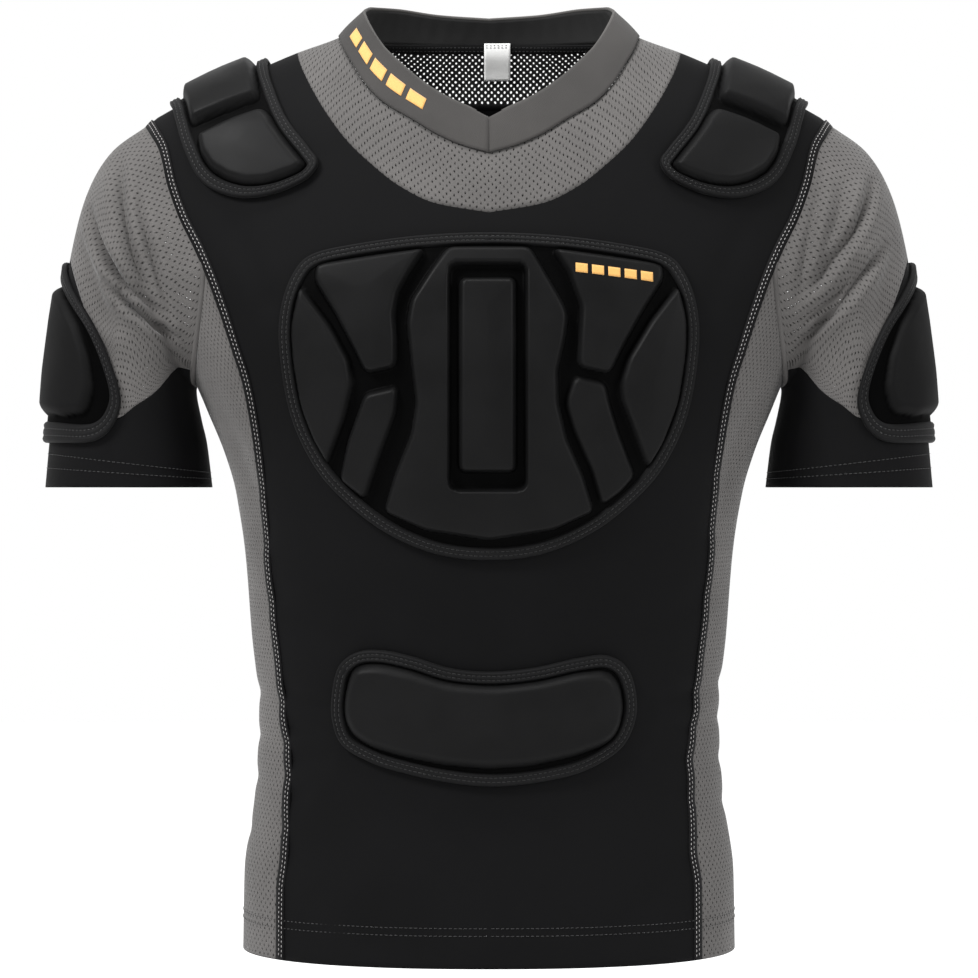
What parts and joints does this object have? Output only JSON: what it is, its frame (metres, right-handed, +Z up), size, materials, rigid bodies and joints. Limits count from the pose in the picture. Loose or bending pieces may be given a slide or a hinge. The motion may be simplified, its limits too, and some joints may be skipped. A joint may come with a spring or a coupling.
{
  "type": "padded compression shirt",
  "caption": "Short-sleeved V-neck pullover of stretch cloth and net, hollow as worn, with molded foam pads on chest, abdomen, shoulders and upper arms.",
  "frame": {"origin": "middle of the neck opening at the height of the shoulders' neck points, where the shirt is held", "axes": "+Z up towards the neck, the front of the shirt faces -Y, +X to the right in the front view"},
  "size_m": [0.6836, 0.2688, 0.7184],
  "materials": {
    "black_stretch": "matt stretch knit",
    "grey_net": "matt perforated net",
    "black_net": "matt perforated net",
    "collar_knit": "matt knit",
    "facing_knit": "matt knit",
    "molded_foam": "molded foam under bonded cloth",
    "edge_tape": "matt woven tape",
    "label_cloth": "satin label cloth"
  },
  "bodies": {
    "root": {"front_panel": "black_stretch", "back_panel": "black_stretch", "neck_yoke": "grey_net", "back_yoke": "black_net", "side_panel_left": "grey_net", "side_panel_right": "grey_net", "sleeve_left": "grey_net", "sleeve_right": "grey_net", "sleeve_lower_left": "black_stretch", "sleeve_lower_right": "black_stretch", "collar": "collar_knit", "collar_facing": "facing_knit", "neck_label": "label_cloth", "chest_pad_base": "molded_foam", "chest_pad_tape": "edge_tape", "chest_block_upper_left": "molded_foam", "chest_block_upper_right": "molded_foam", "chest_block_outer_left": "molded_foam", "chest_block_outer_right": "molded_foam", "chest_block_lower_left": "molded_foam", "chest_block_lower_right": "molded_foam", "chest_block_middle": "molded_foam", "chest_bar": "molded_foam", "abdomen_pad_base": "molded_foam", "abdomen_pad_tape": "edge_tape", "abdomen_pad_block": "molded_foam", "shoulder_pad_base_left": "molded_foam", "shoulder_pad_base_right": "molded_foam", "shoulder_pad_tape_left": "edge_tape", "shoulder_pad_tape_right": "edge_tape", "shoulder_pad_top_left": "molded_foam", "shoulder_pad_top_right": "molded_foam", "shoulder_pad_front_left": "molded_foam", "shoulder_pad_front_right": "molded_foam", "arm_pad_base_left": "molded_foam", "arm_pad_base_right": "molded_foam", "arm_pad_tape_left": "edge_tape", "arm_pad_tape_right": "edge_tape", "arm_pad_block_left": "molded_foam", "arm_pad_block_right": "molded_foam"}
  },
  "joints": []
}
